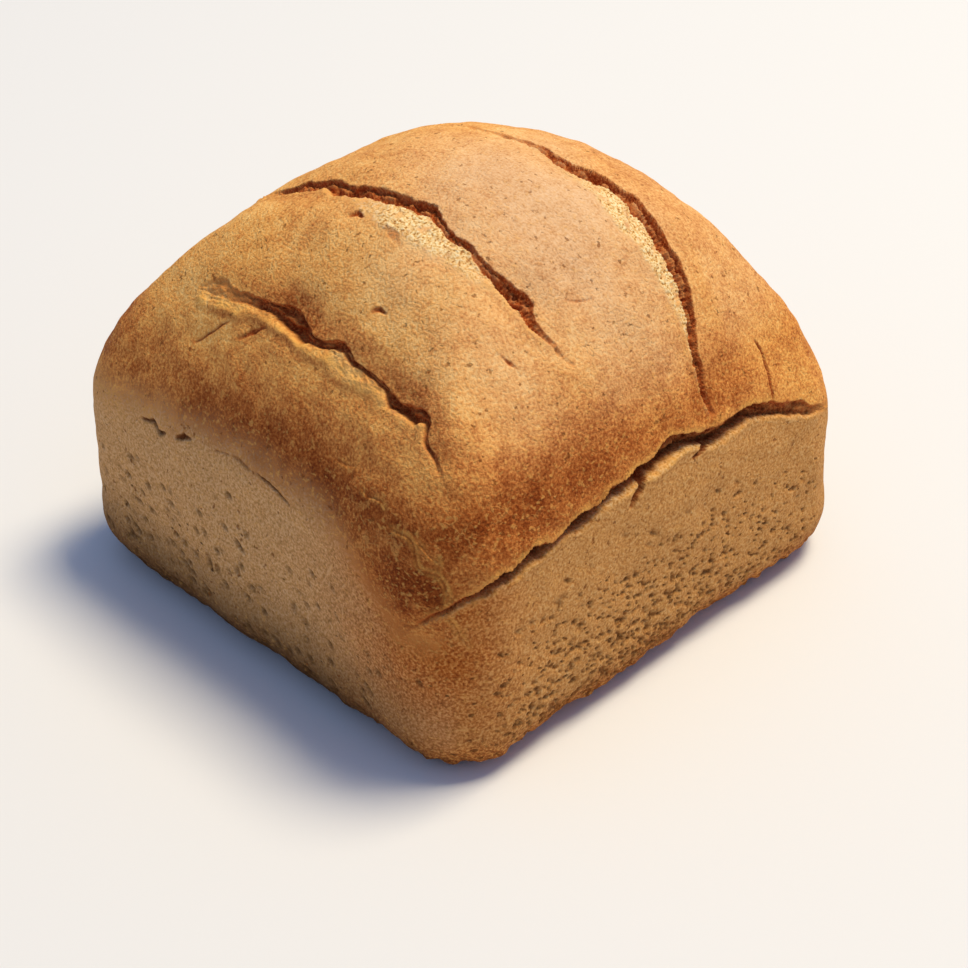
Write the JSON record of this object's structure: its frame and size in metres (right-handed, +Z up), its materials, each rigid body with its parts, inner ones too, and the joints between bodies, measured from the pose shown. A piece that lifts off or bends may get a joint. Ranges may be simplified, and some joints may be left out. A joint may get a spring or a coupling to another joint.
{
  "type": "sourdough bread loaf",
  "caption": "Square-based tin loaf of brown sourdough with a domed, slashed crown and a crust torn open along its front side.",
  "frame": {"origin": "middle of the loaf's flat underside, on the surface that it stands on", "axes": "+Z up out of the crown, +X along the longer horizontal side, across the slashes, and -Y out of the front side, the one with the long tear"},
  "size_m": [0.1412, 0.1384, 0.1098],
  "materials": {
    "baked_crust": "dry, matt, finely rough baked crust, golden brown with darker shoulders"
  },
  "bodies": {
    "root": {"loaf": "baked_crust"}
  },
  "joints": []
}
